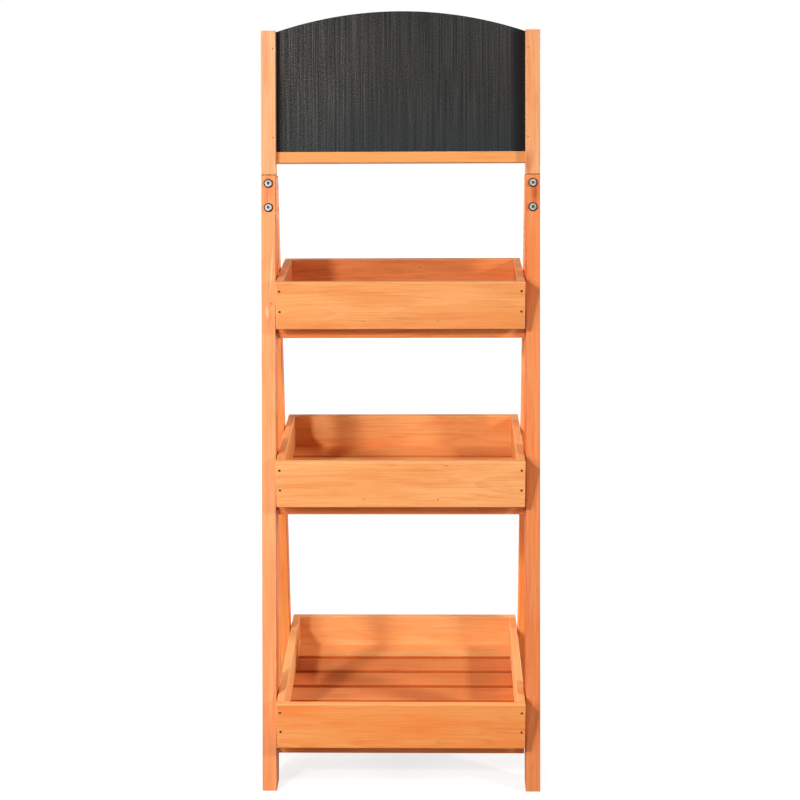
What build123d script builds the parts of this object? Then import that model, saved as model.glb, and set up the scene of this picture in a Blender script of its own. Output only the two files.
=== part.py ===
from build123d import *
import os
from math import cos, radians, sin, sqrt, tan

os.makedirs("parts", exist_ok=True)

# A three-tier plant stand: two leaning front legs, two steeper rear legs bolted to their
# backs, a chalkboard header on top, and three slatted trays that rest on cross rails.
# Millimetres, X across the front, +Y to the back, +Z up, origin on the floor under the middle.

# Whole stand
stand_width = 405.0
stand_depth = 340.0
eased_edge = 0.8

# Front legs
leg_lean = radians(15.0)
leg_width = 21.0
leg_depth = 35.0
leg_length = 898.0
lap_length = 60.0
lap_depth = 17.5
seam_bevel = 0.5

# Rear legs
rear_lean = radians(2.6)
rear_leg_depth = 30.0
rear_foot_inset = 23.0

# Chalkboard header
post_depth = 22.0
post_length = 209.0
post_shoulder_rise = 17.0
board_thickness = 5.0
board_recess = 12.0
board_rise = 29.5
groove_depth = 7.0
groove_play = 0.2
header_rail_gap = 18.0
header_rail_height = 16.0
header_rail_depth = 14.0
header_rail_recess = 8.0
header_rail_groove = 6.0

# Trays, from the top down: rim height above the floor and number of floor slats
trays = {"top_tray": (722.5, 3), "middle_tray": (473.5, 4), "bottom_tray": (135.5, 6)}
tray_side_play = 1.6
tray_proud = 32.0
tray_height = 69.0
tray_floor_drop = 49.0
board_stock = 11.0
slat_gap = 9.0

# Cross rails that carry the trays
rail_thickness = 16.0
rail_height = 27.0
rail_end_play = 2.0
front_rail_setback = 20.0
rear_rail_setback = 15.0
tenon_thickness = 8.0
tenon_height = 15.0
tenon_length = 12.0
mortise_depth = 13.0

# Bolts and barrel nuts at the apex, two a side
bolt_radius = 3.0
bolt_hole_radius = 3.25
bolt_head_radius = 6.5
bolt_head_height = 2.6
bolt_head_bevel = 1.0
bolt_socket_across_flats = 4.0
bolt_socket_depth = 1.8
bolt_reach = 49.0
bolt_drops = (12.4, 47.4)
barrel_radius = 5.0
barrel_length = 14.0
barrel_setback = 43.0

# Square brads of the trays and pins of the chalkboard
nail_side = 2.0
nail_length = 30.0
nail_proud = 0.2
side_nail_heights = (26.0, 56.0)
slat_nail_height = 12.5
slat_nail_x = 54.0
pin_inset = 3.6
pin_drops = (26.0, 155.0)
pin_length = 19.0

# Derived sizes
foot_front_y = -stand_depth / 2
tray_back_y = stand_depth / 2
rear_foot_y = tray_back_y - rear_foot_inset
inner_width = stand_width - 2 * leg_width
leg_centre_x = (stand_width - leg_width) / 2
tray_width = inner_width - 2 * tray_side_play
post_top = leg_length + post_length
header_rail_bottom = leg_length + header_rail_gap
header_rail_top = header_rail_bottom + header_rail_height
board_bottom = header_rail_top - header_rail_groove
sides = {"left": -1, "right": 1}

# The front legs' front face: local X across, local Y up along the leg, local Z out to the front
leg_up = (0, sin(leg_lean), cos(leg_lean))
leg_out = (0, -cos(leg_lean), sin(leg_lean))
leg_face = Plane(origin=(0, foot_front_y, 0), x_dir=(1, 0, 0), z_dir=leg_out)
leg_axis = Axis((0, foot_front_y, 0), leg_up)
out_axis = Axis((0, foot_front_y, 0), leg_out)
rear_axis = Axis((0, rear_foot_y, 0), (0, -sin(rear_lean), cos(rear_lean)))


def leg_side(x):
    """Upright plane at x: local X runs back through the front leg, local Y up along it."""
    back = (0, cos(leg_lean), -sin(leg_lean))
    return Plane(origin=(x, foot_front_y, 0), x_dir=back, z_dir=(1, 0, 0))


def leg_point(back, up):
    """World Y and Z of a point that far behind the leg's face and that far up the leg."""
    y = foot_front_y + up * sin(leg_lean) + back * cos(leg_lean)
    z = up * cos(leg_lean) - back * sin(leg_lean)
    return y, z


def leg_face_y(z):
    """World Y of the front legs' front face at a height."""
    return foot_front_y + z * tan(leg_lean)


def rear_back_y(z):
    """World Y of the rear legs' back face at a height."""
    return rear_foot_y - z * tan(rear_lean)


def rail_z(rim):
    """World Z of the middle of both rails under a tray, whose slats lie on them."""
    return rim - tray_floor_drop - board_stock - rail_height / 2


def front_rail_y(rim):
    """World Y of the middle of the front rail under a tray."""
    return leg_face_y(rim) - tray_proud + front_rail_setback + rail_thickness / 2


def rear_rail_y(rim):
    """World Y of the middle of the rear rail under a tray, inside the rear leg's depth."""
    return rear_back_y(rail_z(rim)) - rear_rail_setback


def bolt_places(sign):
    """Places of one side's bolts on the front legs' face."""
    return [(sign * leg_centre_x, leg_length - drop) for drop in bolt_drops]


def save(piece, label):
    """Label a finished piece and write it under that name."""
    piece.label = label
    export_step(piece, f"parts/{label}.step")


# Front legs: cut level at the foot, halved at the top for the header posts' tongues
for side, sign in sides.items():
    with BuildPart() as front_leg:
        with BuildSketch(leg_side(sign * leg_centre_x - leg_width / 2)):
            with BuildLine():
                Polyline(
                    (0, 0),
                    (leg_depth, leg_depth * tan(leg_lean)),
                    (leg_depth, leg_length - lap_length),
                    (lap_depth, leg_length - lap_length),
                    (lap_depth, leg_length),
                    (0, leg_length),
                    close=True,
                )
            make_face()
        extrude(amount=leg_width)
        chamfer(front_leg.edges().filter_by(leg_axis).sort_by(SortBy.LENGTH)[-4:], eased_edge)
        front_ends = front_leg.edges().filter_by(Axis.X).group_by(out_axis)[-1]
        chamfer(front_ends.sort_by(leg_axis)[-1], seam_bevel)
        with BuildSketch(leg_face):
            with Locations(*bolt_places(sign)):
                Circle(bolt_hole_radius)
        extrude(amount=-leg_depth, mode=Mode.SUBTRACT)
        with BuildSketch(Plane.YZ.offset(sign * inner_width / 2)):
            with Locations(*[(front_rail_y(rim), rail_z(rim)) for rim, _ in trays.values()]):
                Rectangle(tenon_thickness, tenon_height)
        extrude(amount=sign * mortise_depth, mode=Mode.SUBTRACT)
    save(front_leg.part, f"front_leg_{side}")

# Rear legs: their heads are cut to a long bevel that lies on the front legs' backs
rear_run = rear_foot_y - rear_leg_depth / cos(rear_lean)
bevel_run = rear_run - foot_front_y - leg_depth / cos(leg_lean)
bevel_foot_z = bevel_run / (tan(leg_lean) + tan(rear_lean))
head_y, head_z = leg_point(leg_depth, leg_length)
for side, sign in sides.items():
    with BuildPart() as rear_leg:
        with BuildSketch(Plane.YZ.offset(sign * leg_centre_x - leg_width / 2)):
            with BuildLine():
                Polyline(
                    (rear_foot_y, 0),
                    (rear_run, 0),
                    (rear_run - bevel_foot_z * tan(rear_lean), bevel_foot_z),
                    (head_y, head_z),
                    (rear_back_y(head_z), head_z),
                    close=True,
                )
            make_face()
        extrude(amount=leg_width)
        chamfer(rear_leg.edges().filter_by(rear_axis), eased_edge)
        with BuildSketch(leg_face.offset(-leg_depth)):
            with Locations(*bolt_places(sign)):
                Circle(bolt_hole_radius)
        extrude(amount=leg_depth - bolt_reach, mode=Mode.SUBTRACT)
        with BuildSketch(leg_side(sign * inner_width / 2)):
            with Locations(*[(barrel_setback, leg_length - drop) for drop in bolt_drops]):
                Circle(barrel_radius)
        extrude(amount=sign * (leg_width + barrel_length) / 2, mode=Mode.SUBTRACT)
        with BuildSketch(Plane.YZ.offset(sign * inner_width / 2)):
            with Locations(*[(rear_rail_y(rim), rail_z(rim)) for rim, _ in trays.values()]):
                Rectangle(tenon_thickness, tenon_height)
        extrude(amount=sign * mortise_depth, mode=Mode.SUBTRACT)
    save(rear_leg.part, f"rear_leg_{side}")

# Header posts: flush with the legs in front, with a tongue behind them and a sloping shoulder
for side, sign in sides.items():
    with BuildPart() as header_post:
        with BuildSketch(leg_side(sign * leg_centre_x - leg_width / 2)):
            with BuildLine():
                Polyline(
                    (0, leg_length),
                    (0, post_top),
                    (post_depth, post_top),
                    (post_depth, leg_length + post_shoulder_rise),
                    (leg_depth, leg_length),
                    (leg_depth, leg_length - lap_length),
                    (lap_depth, leg_length - lap_length),
                    (lap_depth, leg_length),
                    close=True,
                )
            make_face()
        extrude(amount=leg_width)
        chamfer(header_post.edges().filter_by(leg_axis).sort_by(SortBy.LENGTH)[-4:], eased_edge)
        front_ends = header_post.edges().filter_by(Axis.X).group_by(out_axis)[-1]
        chamfer(front_ends.sort_by(leg_axis)[0], seam_bevel)
        with BuildSketch(leg_side(sign * inner_width / 2)):
            with Locations((board_recess + board_thickness / 2, (board_bottom + post_top) / 2)):
                Rectangle(board_thickness + 2 * groove_play, post_top - board_bottom)
        extrude(amount=sign * (groove_depth + groove_play), mode=Mode.SUBTRACT)
        with BuildSketch(leg_face):
            with Locations(*bolt_places(sign)):
                Circle(bolt_hole_radius)
        extrude(amount=-leg_depth, mode=Mode.SUBTRACT)
    save(header_post.part, f"header_post_{side}")

# Chalkboard: its top edge is one arc that meets the posts' tops at their inner faces
half_board = inner_width / 2 + groove_depth
arch_radius = ((inner_width / 2) ** 2 + board_rise**2) / (2 * board_rise)
board_side_top = post_top + board_rise - arch_radius + sqrt(arch_radius**2 - half_board**2)
with BuildPart() as chalkboard:
    with BuildSketch(leg_face.offset(-board_recess)):
        with BuildLine():
            ThreePointArc(
                (half_board, board_side_top),
                (0, post_top + board_rise),
                (-half_board, board_side_top),
            )
            Polyline(
                (-half_board, board_side_top),
                (-half_board, board_bottom),
                (half_board, board_bottom),
                (half_board, board_side_top),
            )
        make_face()
    extrude(amount=-board_thickness)
save(chalkboard.part, "chalkboard")

# Rail under the chalkboard, grooved along its top
header_rail_middle = header_rail_recess + header_rail_depth / 2
with BuildPart() as chalkboard_rail:
    with BuildSketch(leg_side(-inner_width / 2)):
        with Locations((header_rail_middle, (header_rail_bottom + header_rail_top) / 2)):
            Rectangle(header_rail_depth, header_rail_height)
    extrude(amount=inner_width)
    chamfer(chalkboard_rail.edges().filter_by(Axis.X), eased_edge)
    with BuildSketch(leg_side(-inner_width / 2)):
        with Locations((board_recess + board_thickness / 2, header_rail_top)):
            Rectangle(board_thickness + 2 * groove_play, 2 * header_rail_groove)
    extrude(amount=inner_width, mode=Mode.SUBTRACT)
save(chalkboard_rail.part, "chalkboard_rail")

# Pins through the posts' front lips and the board's edges
with BuildPart() as board_pins:
    with BuildSketch(leg_face.offset(nail_proud)):
        pin_x = inner_width / 2 + pin_inset
        with Locations(*[(s * pin_x, post_top - drop) for s in sides.values() for drop in pin_drops]):
            Rectangle(nail_side, nail_side)
    extrude(amount=-pin_length)
save(board_pins.part, "board_pins")

# Bolts with low bevelled heads and hexagon sockets
all_bolt_places = bolt_places(-1) + bolt_places(1)
with BuildPart() as apex_bolts:
    with BuildSketch(leg_face):
        with Locations(*all_bolt_places):
            Circle(bolt_head_radius)
    extrude(amount=bolt_head_height)
    head_rims = apex_bolts.edges().filter_by(GeomType.CIRCLE).group_by(out_axis)[-1]
    chamfer(head_rims, bolt_head_bevel)
    with BuildSketch(leg_face):
        with Locations(*all_bolt_places):
            Circle(bolt_radius)
    extrude(amount=-bolt_reach)
    with BuildSketch(leg_face.offset(bolt_head_height)):
        with Locations(*all_bolt_places):
            RegularPolygon(bolt_socket_across_flats / 2, 6, major_radius=False)
    extrude(amount=-bolt_socket_depth, mode=Mode.SUBTRACT)
save(apex_bolts.part, "apex_bolts")

# Barrel nuts across the rear legs' heads
with BuildPart() as barrel_nuts:
    for sign in sides.values():
        with BuildSketch(leg_side(sign * leg_centre_x)):
            with Locations(*[(barrel_setback, leg_length - drop) for drop in bolt_drops]):
                Circle(barrel_radius)
        extrude(amount=barrel_length / 2, both=True)
    with BuildSketch(leg_face.offset(-leg_depth)):
        with Locations(*all_bolt_places):
            Circle(bolt_radius)
    extrude(amount=-2 * barrel_setback, mode=Mode.SUBTRACT)
save(barrel_nuts.part, "apex_barrel_nuts")

# Cross rails between the legs, with stub tenons in the legs' mortises
rail_length = inner_width - 2 * rail_end_play
tenon_reach = inner_width / 2 + tenon_length
for row, rail_y in (("front", front_rail_y), ("rear", rear_rail_y)):
    for tray, (rim, _) in trays.items():
        with BuildPart() as cross_rail:
            with BuildSketch(Plane.YZ.offset(-rail_length / 2)):
                with Locations((rail_y(rim), rail_z(rim))):
                    Rectangle(rail_thickness, rail_height)
            extrude(amount=rail_length)
            chamfer(cross_rail.edges().filter_by(Axis.X), eased_edge)
            with BuildSketch(Plane.YZ.offset(-tenon_reach)):
                with Locations((rail_y(rim), rail_z(rim))):
                    Rectangle(tenon_thickness, tenon_height)
            extrude(amount=2 * tenon_reach)
        save(cross_rail.part, f"{row}_rail_{tray.removesuffix('_tray')}")

# Trays: sides between the long panels, standing on slats that run from left to right
side_nail_x = (tray_width - board_stock) / 2
for tray, (rim, slat_count) in trays.items():
    tray_front_y = leg_face_y(rim) - tray_proud
    panel_bottom = rim - tray_height
    floor_top = rim - tray_floor_drop
    floor_length = tray_back_y - tray_front_y - 2 * board_stock
    floor_middle_y = (tray_front_y + tray_back_y) / 2
    slat_width = (floor_length - (slat_count - 1) * slat_gap) / slat_count
    slat_pitch = slat_width + slat_gap
    first_slat_y = tray_front_y + board_stock + slat_width / 2
    slat_ys = [first_slat_y + i * slat_pitch for i in range(slat_count)]

    for name, back_face_y in (("front", tray_front_y + board_stock), ("back", tray_back_y)):
        with BuildPart() as panel:
            with BuildSketch(Plane.XZ.offset(-back_face_y)):
                with Locations((0, rim - tray_height / 2)):
                    Rectangle(tray_width, tray_height)
            extrude(amount=board_stock)
            chamfer(panel.edges(), eased_edge)
        save(panel.part, f"{tray}_{name}_panel")

    for side, sign in sides.items():
        with BuildPart() as tray_side:
            with BuildSketch(Plane.YZ.offset(sign * tray_width / 2)):
                with Locations((floor_middle_y, rim - tray_floor_drop / 2)):
                    Rectangle(floor_length, tray_floor_drop)
            extrude(amount=-sign * board_stock)
            chamfer(tray_side.edges().filter_by(Axis.Y), eased_edge)
        save(tray_side.part, f"{tray}_{side}_side")

    for i, slat_y in enumerate(slat_ys, start=1):
        with BuildPart() as slat:
            with BuildSketch(Plane.XY.offset(floor_top)):
                with Locations((0, slat_y)):
                    Rectangle(tray_width, slat_width)
            extrude(amount=-board_stock)
            chamfer(slat.edges().filter_by(Axis.X), eased_edge)
        save(slat.part, f"{tray}_slat_{i}")

    panel_nails = [(s * side_nail_x, panel_bottom + h) for s in sides.values() for h in side_nail_heights]
    panel_nails += [(s * slat_nail_x, panel_bottom + slat_nail_height) for s in sides.values()]
    slat_nails = [(s * side_nail_x, y) for s in sides.values() for y in slat_ys]
    with BuildPart() as nails:
        with BuildSketch(Plane.XZ.offset(nail_proud - tray_front_y)):
            with Locations(*panel_nails):
                Rectangle(nail_side, nail_side)
        extrude(amount=-nail_length)
        with BuildSketch(Plane.XZ.offset(-tray_back_y)):
            with Locations(*panel_nails):
                Rectangle(nail_side, nail_side)
        extrude(amount=nail_length)
        with BuildSketch(Plane.XY.offset(floor_top - board_stock)):
            with Locations(*slat_nails):
                Rectangle(nail_side, nail_side)
        extrude(amount=nail_length)
    save(nails.part, f"{tray}_nails")
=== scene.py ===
"""Looks of a three-tier wooden plant stand with a chalkboard header, in a plain pale studio."""

import logging
import math
import random
import zlib
from dataclasses import dataclass, field
from enum import Enum
from typing import Any, Callable, Iterable, Optional, Union

import bmesh
import bpy
from mathutils import Matrix, Vector


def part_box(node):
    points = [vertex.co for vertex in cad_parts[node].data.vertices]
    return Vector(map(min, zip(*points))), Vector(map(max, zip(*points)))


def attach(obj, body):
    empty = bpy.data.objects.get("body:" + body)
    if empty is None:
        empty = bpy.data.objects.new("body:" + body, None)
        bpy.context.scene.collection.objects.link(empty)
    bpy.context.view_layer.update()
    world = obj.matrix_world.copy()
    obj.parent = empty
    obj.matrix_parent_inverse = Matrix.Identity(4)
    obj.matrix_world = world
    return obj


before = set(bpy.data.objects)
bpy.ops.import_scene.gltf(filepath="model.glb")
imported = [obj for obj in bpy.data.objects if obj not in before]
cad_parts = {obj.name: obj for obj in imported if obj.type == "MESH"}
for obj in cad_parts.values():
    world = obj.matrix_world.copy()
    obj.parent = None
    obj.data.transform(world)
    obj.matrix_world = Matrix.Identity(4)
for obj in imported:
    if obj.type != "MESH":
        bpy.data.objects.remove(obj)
log = logging.getLogger("plant_stand")

Colour = tuple[float, float, float]
Value = Union["Socket", float, int]

LEG_LEAN = math.radians(15.0)
REAR_LEAN = math.radians(2.6)

# Seam under the header posts: its place along the front legs' direction, from the origin, in metres
SEAM_ALONG = 0.854

RIGHT = Vector((1, 0, 0))
BACK = Vector((0, 1, 0))
UP = Vector((0, 0, 1))
LAMP_AIM = Vector((0, 0, 0.4))
WHITE: Colour = (1.0, 1.0, 1.0)


def paint(code: str) -> Colour:
    """Turn a display colour such as "#f6a568" into linear light.

    Args:
        code: Six hex digits after a hash sign, as a colour looks on a screen.

    Returns:
        The red, green and blue parts that a shader takes.
    """
    parts = [int(code[i : i + 2], 16) / 255 for i in (1, 3, 5)]
    linear = [p / 12.92 if p <= 0.04045 else ((p + 0.055) / 1.055) ** 2.4 for p in parts]
    return linear[0], linear[1], linear[2]


class Socket:
    """A value in a shader graph. Arithmetic on it adds Math nodes."""

    def __init__(self, graph: "ShaderGraph", socket: bpy.types.NodeSocket) -> None:
        """Wrap one output socket of a graph."""
        self.graph = graph
        self.socket = socket

    def math(self, operation: str, *terms: Value) -> "Socket":
        """Put this value first in one Math node.

        Args:
            operation: The Math node's operation.
            terms: The values after this one, sockets or numbers.

        Returns:
            The node's result.
        """
        return self.graph.math(operation, self, *terms)

    def __add__(self, other: Value) -> "Socket":
        """This value plus another."""
        return self.math("ADD", other)

    def __radd__(self, other: Value) -> "Socket":
        """A number plus this value."""
        return self.math("ADD", other)

    def __sub__(self, other: Value) -> "Socket":
        """This value minus another."""
        return self.math("SUBTRACT", other)

    def __rsub__(self, other: Value) -> "Socket":
        """A number minus this value."""
        return self.graph.math("SUBTRACT", other, self)

    def __mul__(self, other: Value) -> "Socket":
        """This value times another."""
        return self.math("MULTIPLY", other)

    def __rmul__(self, other: Value) -> "Socket":
        """A number times this value."""
        return self.math("MULTIPLY", other)

    def __truediv__(self, other: Value) -> "Socket":
        """This value over another."""
        return self.math("DIVIDE", other)

    def __rtruediv__(self, other: Value) -> "Socket":
        """A number over this value."""
        return self.graph.math("DIVIDE", other, self)

    def __pow__(self, other: Value) -> "Socket":
        """This value to a power."""
        return self.math("POWER", other)

    def __abs__(self) -> "Socket":
        """This value without its sign."""
        return self.math("ABSOLUTE")

    def fade(self, low: float, high: float) -> "Socket":
        """Ease from 0 at one limit to 1 at the other.

        Args:
            low: Where the result is 0.
            high: Where the result is 1; it may be below low.

        Returns:
            A value from 0 to 1.
        """
        settings = {"interpolation_type": "SMOOTHSTEP"}
        inputs = {"Value": self, "From Min": low, "From Max": high}
        return self.graph.add("ShaderNodeMapRange", settings, inputs, "Result")


class ShaderGraph:
    """The node graph of one material or of the world."""

    def __init__(self, owner: Union[bpy.types.Material, bpy.types.World]) -> None:
        """Start an empty graph in a material or a world."""
        self.owner = owner
        owner.use_nodes = True
        self.tree = owner.node_tree
        self.tree.nodes.clear()

    @classmethod
    def finish(cls, name: str) -> "ShaderGraph":
        """Start the graph of a new finish with this name."""
        return cls(bpy.data.materials.new(name))

    def add(
        self,
        kind: str,
        settings: dict[str, Any],
        inputs: dict[Union[str, int], Any],
        output: Union[str, int] = 0,
    ) -> Socket:
        """Add one node.

        Args:
            kind: The node's type.
            settings: Its own settings.
            inputs: Values or links for its sockets, by name, identifier or number.
            output: The output to hand back.

        Returns:
            The wanted output.
        """
        node = self.tree.nodes.new(kind)
        for key, value in settings.items():
            setattr(node, key, value)
        for key, value in inputs.items():
            socket = self._find(node.inputs, key)
            if isinstance(value, Socket):
                self.tree.links.new(value.socket, socket)
            elif socket.type == "RGBA":
                socket.default_value = (*value, 1.0)
            else:
                socket.default_value = value
        return Socket(self, self._find(node.outputs, output))

    @staticmethod
    def _find(sockets: Any, key: Union[str, int]) -> bpy.types.NodeSocket:
        """One socket of a node by number, identifier or name."""
        if isinstance(key, int):
            return sockets[key]
        return next(s for s in sockets if key in (s.identifier, s.name))

    def math(self, operation: str, *terms: Value) -> Socket:
        """Add one Math node.

        Args:
            operation: The node's operation.
            terms: Its values in order, sockets or numbers.

        Returns:
            The node's result.
        """
        return self.add("ShaderNodeMath", {"operation": operation}, dict(enumerate(terms)))

    def mix(self, amount: Value, first: Any, second: Any) -> Socket:
        """Blend two colours.

        Args:
            amount: 0 gives the first colour and 1 the second.
            first: A colour or a link.
            second: A colour or a link.

        Returns:
            The blended colour.
        """
        settings = {"data_type": "RGBA", "blend_type": "MIX", "clamp_factor": True}
        inputs = {"Factor_Float": amount, "A_Color": first, "B_Color": second}
        return self.add("ShaderNodeMix", settings, inputs, "Result_Color")

    def dot(self, vector: Socket, axis: Vector) -> Socket:
        """Measure a vector along a fixed direction."""
        return self.add("ShaderNodeVectorMath", {"operation": "DOT_PRODUCT"}, {0: vector, 1: axis}, "Value")

    def point(self, x: Value, y: Value, z: Value) -> Socket:
        """Put three values together as a place."""
        return self.add("ShaderNodeCombineXYZ", {}, {0: x, 1: y, 2: z})

    def noise(self, place: Socket, detail: float = 2.0, roughness: float = 0.5) -> Socket:
        """Noise of unit scale at a place.

        Args:
            place: Where to read it, already stretched.
            detail: How many finer layers it has.
            roughness: How strong the finer layers are.

        Returns:
            A value about 0.5.
        """
        inputs = {"Vector": place, "Scale": 1.0, "Detail": detail, "Roughness": roughness}
        return self.add("ShaderNodeTexNoise", {}, inputs, "Fac")

    def bump(self, height: Socket, strength: float, distance: float) -> Socket:
        """Turn a height into a surface normal.

        Args:
            height: The height, from 0 to 1.
            strength: How much of it shows.
            distance: The real height of 1, in metres.

        Returns:
            The normal.
        """
        inputs = {"Height": height, "Strength": strength, "Distance": distance}
        return self.add("ShaderNodeBump", {}, inputs, "Normal")

    def shown(self) -> Socket:
        """Tell rays that show a background, 1, from rays that carry light, 0."""
        kinds = ("Camera", "Glossy", "Transmission")
        rays = [self.add("ShaderNodeLightPath", {}, {}, f"Is {kind} Ray") for kind in kinds]
        return (rays[0] + rays[1] + rays[2]).math("MINIMUM", 1.0)

    def surface(self, inputs: dict[Union[str, int], Any]) -> bpy.types.Material:
        """Close the graph with one Principled surface.

        Args:
            inputs: Values or links for the surface's sockets.

        Returns:
            The finished material.
        """
        shader = self.add("ShaderNodeBsdfPrincipled", {}, inputs, "BSDF")
        return self.close("ShaderNodeOutputMaterial", shader)

    def close(self, kind: str, shader: Socket) -> Any:
        """Join a shader to an output node.

        Args:
            kind: The output node's type.
            shader: What the surface is.

        Returns:
            The material or world that owns the graph.
        """
        output = self.tree.nodes.new(kind)
        self.tree.links.new(shader.socket, output.inputs["Surface"])
        return self.owner


@dataclass(frozen=True)
class BoardAxes:
    """The directions of a board: along its grain, across it, and through it."""

    along: Vector
    across: Vector
    through: Vector


class Grain(Enum):
    """Which way a board of the stand runs."""

    LEFT_TO_RIGHT = BoardAxes(RIGHT, UP, BACK)
    FRONT_TO_BACK = BoardAxes(BACK, UP, RIGHT)
    FLOOR_SLAT = BoardAxes(RIGHT, BACK, UP)
    UP_FRONT_LEG = BoardAxes(
        Vector((0, math.sin(LEG_LEAN), math.cos(LEG_LEAN))),
        RIGHT,
        Vector((0, math.cos(LEG_LEAN), -math.sin(LEG_LEAN))),
    )
    UP_REAR_LEG = BoardAxes(
        Vector((0, -math.sin(REAR_LEAN), math.cos(REAR_LEAN))),
        RIGHT,
        Vector((0, math.cos(REAR_LEAN), math.sin(REAR_LEAN))),
    )


class EdgeFinish(Enum):
    """How the long edges of a board look."""

    # Pale chamfers, partly rubbed stain and partly a painted highlight, with faces that point up painted
    # lighter
    RUBBED_AND_HIGHLIT = "pale where hands and tools rub the stain away"
    # Slat edges that face the gaps between slats, darkened as painted shade in the gaps
    SHADED_SLAT_EDGES = "ruddy where the stain soaks into sawn edges"
    # Sides that face the middle of the stand, darkened as painted shade
    SHADED_INNER_SIDE = "ruddy on the side that faces the middle of the stand"


@dataclass(frozen=True)
class Knot:
    """A knot in a board, placed along and across its grain, in metres."""

    along: float
    across: float
    radius: float
    depth: float


@dataclass(frozen=True)
class Flame:
    """A streak of figure with a ruddy rim, placed along and across the grain, in metres."""

    along: float
    across: float
    length: float
    width: float
    slant: float = 0.0
    pale: float = 0.60
    ruddy: float = 0.28


@dataclass(frozen=True)
class Stain:
    """The colours of one batch of stained boards."""

    pale: Colour
    body: Colour
    late: Colour
    streak: Colour


GOLDEN = Stain(paint("#feb574"), paint("#f7a260"), paint("#e38547"), paint("#c35f30"))
AMBER = Stain(paint("#f3a96a"), paint("#ed9757"), paint("#d97c41"), paint("#ba582b"))
ORANGE = Stain(paint("#ffab62"), paint("#ff964c"), paint("#f77a3a"), paint("#d65a28"))
PEACH = Stain(paint("#faac76"), paint("#f59a63"), paint("#e17f49"), paint("#c55e34"))
ROSY = Stain(paint("#ed9861"), paint("#e6854e"), paint("#d36c39"), paint("#b45028"))
WHEAT = Stain(paint("#f4b486"), paint("#eda474"), paint("#da8857"), paint("#be6640"))
SALMON = Stain(paint("#eba876"), paint("#e49864"), paint("#d17f4d"), paint("#b25d36"))
RUSSET = Stain(paint("#eb975b"), paint("#e0824a"), paint("#c96735"), paint("#a64822"))
HONEY = Stain(paint("#ecaf70"), paint("#ec9d5b"), paint("#dd8243"), paint("#c1602d"))
TOFFEE = Stain(paint("#eea369"), paint("#ee9155"), paint("#dc773b"), paint("#c05826"))
SADDLE = Stain(paint("#e99c53"), paint("#e38c46"), paint("#d07233"), paint("#b35223"))
RUST = Stain(paint("#f69a5c"), paint("#f18647"), paint("#dd6d37"), paint("#bf5125"))
APRICOT = Stain(paint("#f5c183"), paint("#f5ad6b"), paint("#e5904f"), paint("#c86b36"))


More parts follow.
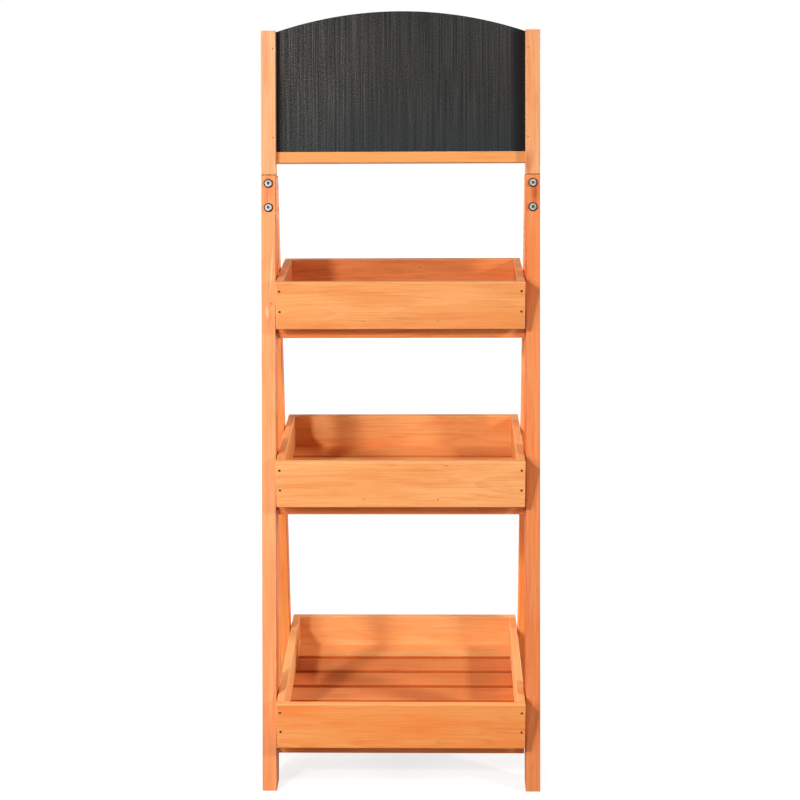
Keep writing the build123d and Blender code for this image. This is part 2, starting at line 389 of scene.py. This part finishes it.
@dataclass(frozen=True)
class StainedWood:
    """Softwood under a nearly matt orange stain, as solid wood with rings."""

    ring_spacing: float = 0.0036
    ring_strength: float = 0.36
    fibre_strength: float = 0.55
    streak_strength: float = 0.27
    mottle_strength: float = 0.46
    # Pale wood for pale figure, also used as a painted highlight on chamfers
    worn: Colour = paint("#ffcf9f")
    # Painted light on faces that point up
    painted_top_light: Colour = paint("#ffb06c")
    end_grain: Colour = paint("#b9673c")
    knot_core: Colour = paint("#9c4a25")
    joint_dirt: Colour = paint("#5e2a16")
    # Painted shade in the gaps between floor slats
    slat_gap_shade: Colour = paint("#d5682f")
    # Painted shade on the inner sides of the front legs
    inner_side_shade: Colour = paint("#c25e2e")
    roughness: float = 0.46

    def dress(
        self,
        node: str,
        grain: Grain,
        stain: Stain,
        knots: tuple[Knot, ...] = (),
        flames: tuple[Flame, ...] = (),
        edges: EdgeFinish = EdgeFinish.RUBBED_AND_HIGHLIT,
        joint: Optional[float] = None,
    ) -> None:
        """Give a board its own piece of wood.

        Args:
            node: The board's name.
            grain: Which way it runs.
            stain: Its colours.
            knots: Its knots.
            flames: Its pale figure.
            edges: How its long edges look.
            joint: Where along the grain another board butts against it, in metres.
        """
        draw = random.Random(zlib.crc32(node.encode()))
        graph = ShaderGraph.finish(f"wood_{node}")
        axes = grain.value
        place = graph.add("ShaderNodeTexCoord", {}, {}, "Object")
        low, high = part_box(node)
        middle = (low + high) / 2
        true_along = graph.dot(place, axes.along)
        true_across = graph.dot(place, axes.across)
        along = true_along + draw.uniform(-9, 9)
        across = true_across - middle.dot(axes.across)
        through = graph.dot(place, axes.through) - middle.dot(axes.through)
        seed = draw.uniform(-9, 9)

        # Wavy rings, and the knots that push them aside
        drift = graph.noise(graph.point(along * 2.6, across * 11 + seed, through * 11), 2.0) - 0.5
        knot_core: Value = 0.0
        knot_swell: Value = 0.0
        for knot in knots:
            run = true_along - knot.along
            rise = true_across - knot.across
            reach = ((run * 0.6) ** 2 + rise * rise).math("SQRT") / knot.radius
            knot_core = reach.fade(1.0, 0.4) * knot.depth + knot_core
            knot_swell = reach.fade(3.6, 0.4) * (knot.radius * 1.6) + knot_swell

        # Growth rings round a pith beside the board
        pith_across = draw.uniform(-0.03, 0.03)
        pith_depth = draw.uniform(0.028, 0.060) * draw.choice((-1, 1))
        radius = ((across - pith_across) ** 2 + (through - pith_depth) ** 2).math("SQRT")
        rings = ((radius + drift * 0.030 + knot_swell) / self.ring_spacing).math("FRACT")
        late = rings**2.2 * rings.fade(1.0, 0.9)

        # Broad tone, fine fibres and short dark streaks
        tone = graph.noise(graph.point(along * 3.1, across * 16, through * 16 + seed), 3.0)
        fibre = graph.noise(graph.point(along * 12, across * 620, through * 620), 3.0, 0.65)
        patch = graph.noise(graph.point(along * 6, across * 34, through * 34 + 4.0), 2.0)
        dash = graph.noise(graph.point(along * 24, across * 430, through * 430 + 7.0), 2.0, 0.6)
        streak = dash.fade(0.55, 0.70) * patch.fade(0.42, 0.62)

        mottle = graph.noise(graph.point(along * 11, across * 75, through * 75 + 2.0), 3.0, 0.6)
        colour = graph.mix(tone.fade(0.34, 0.66), stain.pale, stain.body)
        colour = graph.mix(mottle.fade(0.45, 0.75) * self.mottle_strength, colour, stain.late)
        colour = graph.mix(late * (self.ring_strength * (patch.fade(0.25, 0.7) + 0.35)), colour, stain.late)
        colour = graph.mix(fibre.fade(0.45, 0.72) * self.fibre_strength, colour, stain.late)
        colour = graph.mix(streak * self.streak_strength, colour, stain.streak)
        for flame in flames:
            run = true_along - flame.along
            rise = true_across - flame.across - run * flame.slant
            reach = ((run / flame.length) ** 2 + (rise / flame.width) ** 2).math("SQRT")
            ruddy = reach.fade(2.2, 0.2) * (mottle.fade(0.35, 0.6) * 0.7 + 0.3)
            colour = graph.mix(ruddy * flame.ruddy, colour, stain.streak)
            colour = graph.mix(reach.fade(1.2, 0.3) * flame.pale, colour, self.worn)
        if knots:
            colour = graph.mix(knot_core, colour, self.knot_core)
        if joint is not None:
            colour = graph.mix(abs(true_along - joint).fade(0.0010, 0.0003), colour, self.joint_dirt)

        # Edges and end grain, told apart by the way a face points; some edges get painted highlights and
        # painted shade
        facing = graph.add("ShaderNodeTexCoord", {}, {}, "Normal")
        face_along = abs(graph.dot(facing, axes.along))
        face_across = abs(graph.dot(facing, axes.across))
        bevel = face_along + face_across + abs(graph.dot(facing, axes.through))
        if edges is EdgeFinish.RUBBED_AND_HIGHLIT:
            # Chamfers paler, partly rubbed stain and partly a painted highlight; faces that point up get
            # painted light
            rubbed_and_highlit = bevel.fade(1.1, 1.38) * tone.fade(0.3, 0.6)
            rim = graph.dot(facing, UP).fade(0.8, 0.95)
            colour = graph.mix(rubbed_and_highlit * 0.45, colour, self.worn)
            colour = graph.mix(rim * (0.75 - streak * 0.4), colour, self.painted_top_light)
        elif edges is EdgeFinish.SHADED_SLAT_EDGES:
            # Painted shade on slat edges in the gaps between slats
            colour = graph.mix(face_across.fade(0.3, 0.7) * 0.9, colour, self.slat_gap_shade)
        else:
            # Painted shade on the side that faces the middle of the stand
            inward = graph.dot(facing, RIGHT * -math.copysign(1.0, middle.x))
            colour = graph.mix(inward.fade(0.3, 0.7) * 0.6, colour, self.inner_side_shade)
        colour = graph.mix(face_along.fade(0.8, 0.95) * (late * 0.3 + 0.45), colour, self.end_grain)

        wood = graph.surface(
            {
                "Base Color": colour,
                "Roughness": self.roughness + (fibre - 0.5) * 0.18 + streak * 0.08,
                "Specular IOR Level": 0.04,
                "Normal": graph.bump(fibre * 0.6 + late * 0.4, 0.22, 0.0004),
            }
        )
        put_on(node, wood)


@dataclass(frozen=True)
class ChalkboardPaint:
    """Matt black paint, brushed up and down, with chalk dust, and painted shadows of the posts that darken
    its two edges and keep the dust off them.
    """

    deep: Colour = paint("#121211")
    body: Colour = paint("#262625")
    dusty: Colour = paint("#686560")
    # Bluish tint of a painted reflection towards the bottom of the board
    bluish_reflection: Colour = paint("#242a2e")
    half_width: float = 0.1815

    def dress(self, node: str) -> None:
        """Paint one board."""
        graph = ShaderGraph.finish("chalkboard_paint")
        axes = Grain.UP_FRONT_LEG.value
        place = graph.add("ShaderNodeTexCoord", {}, {}, "Object")
        up = graph.dot(place, axes.along)
        across = graph.dot(place, axes.across)
        brush = graph.noise(graph.point(across * 330, up * 2, 0.0), 4.0, 0.75)
        hair = graph.noise(graph.point(across * 560, up * 8, 3.0), 2.0, 0.6)
        speck = graph.noise(graph.point(across * 620, up * 420, 5.0), 2.0, 0.7)
        cloud = graph.noise(graph.point(across * 9, up * 7, 9.0), 2.0)
        colour = graph.mix(brush.fade(0.36, 0.60), self.deep, self.body)
        dust = hair.fade(0.44, 0.66) * 0.22 + speck.fade(0.44, 0.70) * 0.42
        dust = dust + cloud.fade(0.35, 0.75) * 0.06
        dust = dust * (brush.fade(0.34, 0.54) * 0.75 + 0.25)
        dust = dust * (across.fade(0.05, -0.17) * 0.80 + 0.62)
        # Painted shadows of the posts along both edges of the board: no dust there, and nearly black
        unshaded_left = (across + self.half_width).fade(0.002, 0.007)
        unshaded_right = (self.half_width - across).fade(0.005, 0.024)
        unshaded = unshaded_left * unshaded_right
        colour = graph.mix(dust * unshaded, colour, self.dusty)
        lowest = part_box(node)[0].dot(axes.along)
        # Bluer towards the bottom: a painted reflection
        colour = graph.mix(up.fade(lowest + 0.12, lowest + 0.01) * 0.4, colour, self.bluish_reflection)
        # The painted post shadows darken the edges
        colour = graph.mix((1 - unshaded) * 0.97, colour, self.deep)
        coat = graph.surface(
            {
                "Base Color": colour,
                "Roughness": 0.66 + brush * 0.2,
                "Specular IOR Level": 0.15,
                "Normal": graph.bump(brush * 0.7 + hair * 0.3, 0.3, 0.0003),
            }
        )
        put_on(node, coat)


@dataclass(frozen=True)
class PlatedSteel:
    """Plated or oxidised steel with fine scratches."""

    name: str
    colour: Colour
    shade: Colour
    roughness: float
    metallic: float = 1.0

    def material(self) -> bpy.types.Material:
        """Make the metal."""
        graph = ShaderGraph.finish(self.name)
        place = graph.add("ShaderNodeTexCoord", {}, {}, "Object")
        scratch, colour = self.wear(graph, place)
        return self.surface(graph, colour, scratch)

    def wear(self, graph: ShaderGraph, place: Socket) -> tuple[Socket, Socket]:
        """Scratch and cloud the metal.

        Args:
            graph: The graph to add to.
            place: Where on the piece.

        Returns:
            The scratches and the worn colour.
        """
        x, y, z = (graph.dot(place, axis) for axis in (RIGHT, BACK, UP))
        scratch = graph.noise(graph.point(x * 2600, y * 300, z * 900), 3.0, 0.6)
        bloom = graph.noise(graph.point(x * 160, y * 160, z * 160), 2.0)
        worn = bloom.fade(0.4, 0.7) * 0.6 + scratch.fade(0.55, 0.8) * 0.3
        return scratch, graph.mix(worn, self.colour, self.shade)

    def surface(self, graph: ShaderGraph, colour: Socket, scratch: Socket) -> bpy.types.Material:
        """Close the graph as metal of this colour."""
        return graph.surface(
            {
                "Base Color": colour,
                "Metallic": self.metallic,
                "Roughness": self.roughness + (scratch - 0.5) * 0.2,
                "Normal": graph.bump(scratch, 0.1, 0.0001),
            }
        )


@dataclass(frozen=True)
class BoltHeads(PlatedSteel):
    """Plated bolt heads with painted shade round the rim and in the hexagon socket."""

    # Colour of the painted shade in the sockets and round the rims
    rim_and_socket_shade: Colour = paint("#211b16")
    half_span: float = 0.1920
    middle: float = 0.82410
    half_spacing: float = 0.0175

    def material(self) -> bpy.types.Material:
        """Make the metal, with painted shade in the sockets and round the rims."""
        graph = ShaderGraph.finish(self.name)
        axes = Grain.UP_FRONT_LEG.value
        place = graph.add("ShaderNodeTexCoord", {}, {}, "Object")
        scratch, colour = self.wear(graph, place)
        beside = abs(graph.dot(place, axes.across)) - self.half_span
        above = abs(graph.dot(place, axes.along) - self.middle) - self.half_spacing
        reach = (beside * beside + above * above).math("SQRT")
        # Painted shade in the socket and round the head's rim
        rim_and_socket_shade = reach.fade(0.0026, 0.0020) * 0.8 + reach.fade(0.0043, 0.0053) * 0.95
        return self.surface(graph, graph.mix(rim_and_socket_shade, colour, self.rim_and_socket_shade), scratch)


NICKEL = BoltHeads("nickel_plate", paint("#bdbdba"), paint("#7f7c76"), 0.30)
OXIDISED = PlatedSteel("oxidised_steel", paint("#3a332a"), paint("#221d19"), 0.5, 0.7)
GALVANISED = PlatedSteel("galvanised_steel", paint("#b79a7c"), paint("#6d5440"), 0.45, 0.5)
STAINED_OVER = PlatedSteel("stained_over_steel", paint("#a5683d"), paint("#7d4a2a"), 0.6, 0.2)


def put_on(node: str, material: bpy.types.Material) -> None:
    """Put a finish on a part of the frame.

    Args:
        node: The part's name.
        material: Its finish.
    """
    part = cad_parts[node]
    if not part.material_slots:
        part.data.materials.append(material)
    for slot in part.material_slots:
        slot.material = material
    log.info("dressed %s with %s", node, material.name)


@dataclass(frozen=True)
class NailHeads:
    """Low domed heads on the outer ends of nails, in metres."""

    metal: PlatedSteel
    radius: float
    height: float = 0.0005
    facets: int = 14

    def build(self, nails: str, body: str, ways: list[Vector], chosen: Callable[[Vector], bool]) -> None:
        """Put a head on the end of each chosen nail that comes out at a face of its body.

        Args:
            nails: The node that holds the nails.
            body: The body that they move with.
            ways: The directions in which their heads may face.
            chosen: Tells from the place of a nail's end whether it gets a head of this kind.
        """
        name = f"{nails}_{self.metal.name}_heads"
        shape = bmesh.new()
        for way in ways:
            face = max(way.dot(v.co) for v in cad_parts[nails].data.vertices)
            for end in filter(chosen, self.ends(nails, way, face)):
                self.add_dome(shape, end, way)
        mesh = bpy.data.meshes.new(name)
        shape.to_mesh(mesh)
        shape.free()
        mesh.materials.append(self.metal.material())
        heads = bpy.data.objects.new(name, mesh)
        bpy.context.scene.collection.objects.link(heads)
        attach(heads, body)
        log.info("made %s", name)

    @staticmethod
    def ends(nails: str, way: Vector, face: float) -> list[Vector]:
        """Middles of the nails' ends that lie in one face.

        Args:
            nails: The node that holds the nails.
            way: The face's direction.
            face: How far the face lies in that direction.

        Returns:
            One point for each nail.
        """
        solid = bmesh.new()
        solid.from_mesh(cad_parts[nails].data)
        bmesh.ops.dissolve_limit(solid, angle_limit=0.01, verts=solid.verts, edges=solid.edges)
        flats = [f for f in solid.faces if abs(way.dot(f.calc_center_median()) - face) < 1e-5]
        middles = [f.calc_center_median().copy() for f in flats]
        solid.free()
        return middles

    def add_dome(self, shape: bmesh.types.BMesh, middle: Vector, way: Vector) -> None:
        """Turn the profile round one nail's end.

        Args:
            shape: The mesh to add to.
            middle: The end of the nail.
            way: Where the head faces.
        """
        up = way.cross(RIGHT)
        turns = [2 * math.pi * i / self.facets for i in range(self.facets)]
        spokes = [RIGHT * math.cos(t) + up * math.sin(t) for t in turns]
        rings = []
        for tilt in (0.0, math.pi / 6, math.pi / 3):
            reach = self.radius * math.cos(tilt)
            rise = way * (self.height * math.sin(tilt))
            rings.append([shape.verts.new(middle + rise + spoke * reach) for spoke in spokes])
        crown = shape.verts.new(middle + way * self.height)
        for i in range(self.facets):
            j = (i + 1) % self.facets
            for low, high in zip(rings, rings[1:]):
                shape.faces.new((low[i], low[j], high[j], high[i]))
            shape.faces.new((rings[-1][i], rings[-1][j], crown))


@dataclass
class LegFrame:
    """The four legs and the rails between them."""

    wood: StainedWood
    rows: tuple[str, ...] = ("front", "rear")
    tiers: tuple[str, ...] = ("top", "middle", "bottom")
    left_figure: tuple[Flame, ...] = (
        Flame(0.654, -0.1940, 0.011, 0.0034, -0.05),
        Flame(0.712, -0.1880, 0.044, 0.0016, 0.065),
        Flame(0.830, -0.1920, 0.022, 0.0070, pale=0.0, ruddy=0.55),
    )
    right_figure: tuple[Flame, ...] = (
        Flame(0.827, 0.1950, 0.012, 0.0040, pale=0.0, ruddy=0.90),
        Flame(0.760, 0.1825, 0.045, 0.0020, pale=0.0, ruddy=0.80),
    )
    figure_knot: Knot = Knot(along=0.667, across=-0.1877, radius=0.0016, depth=0.6)

    def dress(self) -> None:
        """Give every leg and rail its wood."""
        self.wood.dress(
            "front_leg_left",
            Grain.UP_FRONT_LEG,
            PEACH,
            knots=(self.figure_knot,),
            flames=self.left_figure,
            edges=EdgeFinish.SHADED_INNER_SIDE,
            joint=SEAM_ALONG,
        )
        self.wood.dress(
            "front_leg_right",
            Grain.UP_FRONT_LEG,
            ROSY,
            flames=self.right_figure,
            edges=EdgeFinish.SHADED_INNER_SIDE,
            joint=SEAM_ALONG,
        )
        for side in ("left", "right"):
            self.wood.dress(f"rear_leg_{side}", Grain.UP_REAR_LEG, ORANGE)
        for row in self.rows:
            for tier in self.tiers:
                self.wood.dress(f"{row}_rail_{tier}", Grain.LEFT_TO_RIGHT, RUST)


@dataclass
class ChalkboardHeader:
    """The posts, the arched board and its rail, with bolts and pins."""

    wood: StainedWood
    paint: ChalkboardPaint
    pin_heads: NailHeads
    figure: tuple[Flame, ...] = (Flame(0.872, 0.1860, 0.011, 0.0050, 0.15, 0.0, 0.95),)

    def dress(self) -> None:
        """Give the header its wood, paint and metal."""
        self.wood.dress("header_post_left", Grain.UP_FRONT_LEG, WHEAT, joint=SEAM_ALONG)
        self.wood.dress(
            "header_post_right", Grain.UP_FRONT_LEG, SALMON, flames=self.figure, joint=SEAM_ALONG
        )
        self.wood.dress("chalkboard_rail", Grain.LEFT_TO_RIGHT, SADDLE)
        self.paint.dress("chalkboard")
        nickel = NICKEL.material()
        for node in ("apex_bolts", "apex_barrel_nuts"):
            put_on(node, nickel)
        put_on("board_pins", STAINED_OVER.material())
        self.pin_heads.build("board_pins", "frame", [-Grain.UP_FRONT_LEG.value.through], lambda end: True)


@dataclass
class Tray:
    """One lift-out tray: four boards, floor slats and nails."""

    name: str
    slats: int
    outside: Stain
    inside: Stain
    floor: Stain
    wood: StainedWood
    corner_heads: NailHeads
    slat_heads: NailHeads
    front_knots: tuple[Knot, ...] = ()
    back_knots: tuple[Knot, ...] = ()
    corner_reach: float = 0.15

    def dress(self) -> None:
        """Give every board of the tray its wood, and its nails their heads."""
        self.wood.dress(f"{self.name}_front_panel", Grain.LEFT_TO_RIGHT, self.outside, self.front_knots)
        self.wood.dress(f"{self.name}_back_panel", Grain.LEFT_TO_RIGHT, self.inside, self.back_knots)
        for side in ("left", "right"):
            self.wood.dress(f"{self.name}_{side}_side", Grain.FRONT_TO_BACK, self.inside)
        for i in range(1, self.slats + 1):
            slat = f"{self.name}_slat_{i}"
            stain = self.inside if i == self.slats else self.floor
            self.wood.dress(slat, Grain.FLOOR_SLAT, stain, edges=EdgeFinish.SHADED_SLAT_EDGES)
        nails = f"{self.name}_nails"
        put_on(nails, OXIDISED.material())
        ways = [-BACK, BACK]
        self.corner_heads.build(nails, self.name, ways, lambda end: abs(end.x) > self.corner_reach)
        self.slat_heads.build(nails, self.name, ways, lambda end: abs(end.x) < self.corner_reach)


@dataclass
class SoftLamp:
    """A soft box that faces a point of the stand, in metres and watts."""

    name: str
    place: Vector
    power: float
    size: float

    def build(self) -> None:
        """Hang the lamp."""
        data = bpy.data.lights.new(self.name, "AREA")
        data.shape = "DISK"
        data.size = self.size
        data.energy = self.power
        lamp = bpy.data.objects.new(self.name, data)
        lamp.location = self.place
        lamp.rotation_euler = (LAMP_AIM - self.place).to_track_quat("-Z", "Y").to_euler()
        bpy.context.scene.collection.objects.link(lamp)
        log.info("hung %s", self.name)


@dataclass
class Studio:
    """Pale floor, soft lamps and the camera at the photograph's angle."""

    eye: Vector = field(default_factory=lambda: Vector((0.0488, -2.5151, 1.2605)))
    yaw: float = math.radians(1.146)
    pitch: float = math.radians(15.88)
    roll: float = math.radians(-0.374)
    focal_pixels: float = 1783.2
    frame_pixels: float = 800.0
    sensor: float = 36.0
    floor_reach: float = 6.0
    shadow_half_width: float = 0.16
    shadow_half_depth: float = 0.18
    shadow_middle: float = 0.02
    shadow_fade: float = 0.13
    fill: float = 0.03
    fill_colour: Colour = (1.0, 0.985, 0.97)
    lamps: tuple[SoftLamp, ...] = (
        SoftLamp("left_lamp", Vector((-1.33, -1.76, 1.78)), 36.0, 0.30),
        SoftLamp("left_low_lamp", Vector((-1.79, -1.61, 1.37)), 16.0, 0.50),
        SoftLamp("left_side_lamp", Vector((-2.31, -0.80, 1.29)), 9.0, 0.30),
        SoftLamp("low_lamp", Vector((-0.58, -2.53, 0.58)), 11.0, 0.40),
        SoftLamp("high_lamp", Vector((0.00, -1.60, 2.45)), 4.0, 0.30),
        SoftLamp("right_lamp", Vector((2.17, -0.88, 1.54)), 36.0, 0.30),
        SoftLamp("back_left_lamp", Vector((-1.66, 1.98, 0.67)), 32.0, 0.50),
        SoftLamp("back_right_lamp", Vector((1.66, 1.98, 0.67)), 32.0, 0.50),
    )

    def build(self) -> None:
        """Set up the studio."""
        self.build_floor()
        for lamp in self.lamps:
            lamp.build()
        self.build_world()
        self.build_camera()

    def build_floor(self) -> None:
        """Lay a floor that shows the stand's shadow and fades to white."""
        mesh = bpy.data.meshes.new("floor")
        shape = bmesh.new()
        bmesh.ops.create_grid(shape, x_segments=1, y_segments=1, size=self.floor_reach)
        shape.to_mesh(mesh)
        shape.free()
        floor = bpy.data.objects.new("floor", mesh)
        bpy.context.scene.collection.objects.link(floor)
        mesh.materials.append(self.floor_paper())
        log.info("laid the floor")

    def floor_paper(self) -> bpy.types.Material:
        """White paper that takes shadow near the stand and glows white further out."""
        graph = ShaderGraph.finish("floor_paper")
        place = graph.add("ShaderNodeTexCoord", {}, {}, "Object")
        off_middle = graph.dot(place, BACK) - self.shadow_middle
        beside = (abs(graph.dot(place, RIGHT)) - self.shadow_half_width).math("MAXIMUM", 0.0)
        before = (abs(off_middle) - self.shadow_half_depth).math("MAXIMUM", 0.0)
        away = (beside * beside + before * before).math("SQRT")
        paper = graph.add("ShaderNodeBsdfDiffuse", {}, {"Color": paint("#f6f2ef")}, "BSDF")
        dim = graph.add("ShaderNodeBsdfDiffuse", {}, {"Color": paint("#7c7a78")}, "BSDF")
        white = graph.add("ShaderNodeEmission", {}, {"Color": WHITE, "Strength": 1.1}, "Emission")
        far = away.fade(0.0, self.shadow_fade) * 0.3 + 0.7
        seen = graph.add("ShaderNodeMixShader", {}, {0: far, 1: paper, 2: white})
        mixed = graph.add("ShaderNodeMixShader", {}, {0: graph.shown(), 1: dim, 2: seen})
        return graph.close("ShaderNodeOutputMaterial", mixed)

    def build_world(self) -> None:
        """Fill light all round, and white where the camera sees past the floor."""
        world = bpy.data.worlds.new("studio")
        bpy.context.scene.world = world
        graph = ShaderGraph(world)
        fill_inputs = {"Color": self.fill_colour, "Strength": self.fill}
        fill = graph.add("ShaderNodeBackground", {}, fill_inputs)
        white = graph.add("ShaderNodeBackground", {}, {"Color": WHITE, "Strength": 1.0})
        mixed = graph.add("ShaderNodeMixShader", {}, {0: graph.shown(), 1: fill, 2: white})
        graph.close("ShaderNodeOutputWorld", mixed)

    def build_camera(self) -> None:
        """Set the camera at the viewpoint that was fitted to the photograph."""
        forward = Vector(
            (
                -math.sin(self.yaw) * math.cos(self.pitch),
                math.cos(self.yaw) * math.cos(self.pitch),
                -math.sin(self.pitch),
            )
        )
        level = Vector((math.cos(self.yaw), math.sin(self.yaw), 0.0))
        upright = level.cross(forward)
        right = level * math.cos(self.roll) + upright * math.sin(self.roll)
        up = right.cross(forward)
        data = bpy.data.cameras.new("camera")
        data.sensor_fit = "HORIZONTAL"
        data.sensor_width = self.sensor
        data.lens = self.sensor * self.focal_pixels / self.frame_pixels
        camera = bpy.data.objects.new("camera", data)
        turn = Matrix((right, up, -forward)).transposed().to_4x4()
        camera.matrix_world = Matrix.Translation(self.eye) @ turn
        bpy.context.scene.collection.objects.link(camera)
        bpy.context.scene.camera = camera


def main() -> None:
    """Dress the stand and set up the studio."""
    logging.basicConfig(level=logging.INFO, format="%(message)s")
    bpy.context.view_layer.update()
    wood = StainedWood()
    heads = NailHeads(OXIDISED, 0.0017)
    brads = NailHeads(GALVANISED, 0.0014)
    pins = NailHeads(STAINED_OVER, 0.0011)
    LegFrame(wood).dress()
    ChalkboardHeader(wood, ChalkboardPaint(), pins).dress()
    back_knot = Knot(along=0.027, across=0.710, radius=0.0022, depth=0.3)
    front_knot = Knot(along=0.066, across=0.468, radius=0.0020, depth=0.4)
    Tray("top_tray", 3, AMBER, RUSSET, RUSSET, wood, heads, brads, back_knots=(back_knot,)).dress()
    Tray("middle_tray", 4, GOLDEN, HONEY, APRICOT, wood, heads, brads, front_knots=(front_knot,)).dress()
    Tray("bottom_tray", 6, ORANGE, APRICOT, TOFFEE, wood, heads, brads).dress()
    Studio().build()
    bpy.context.scene.view_settings.view_transform = "Standard"


if __name__ == "__main__":
    main()
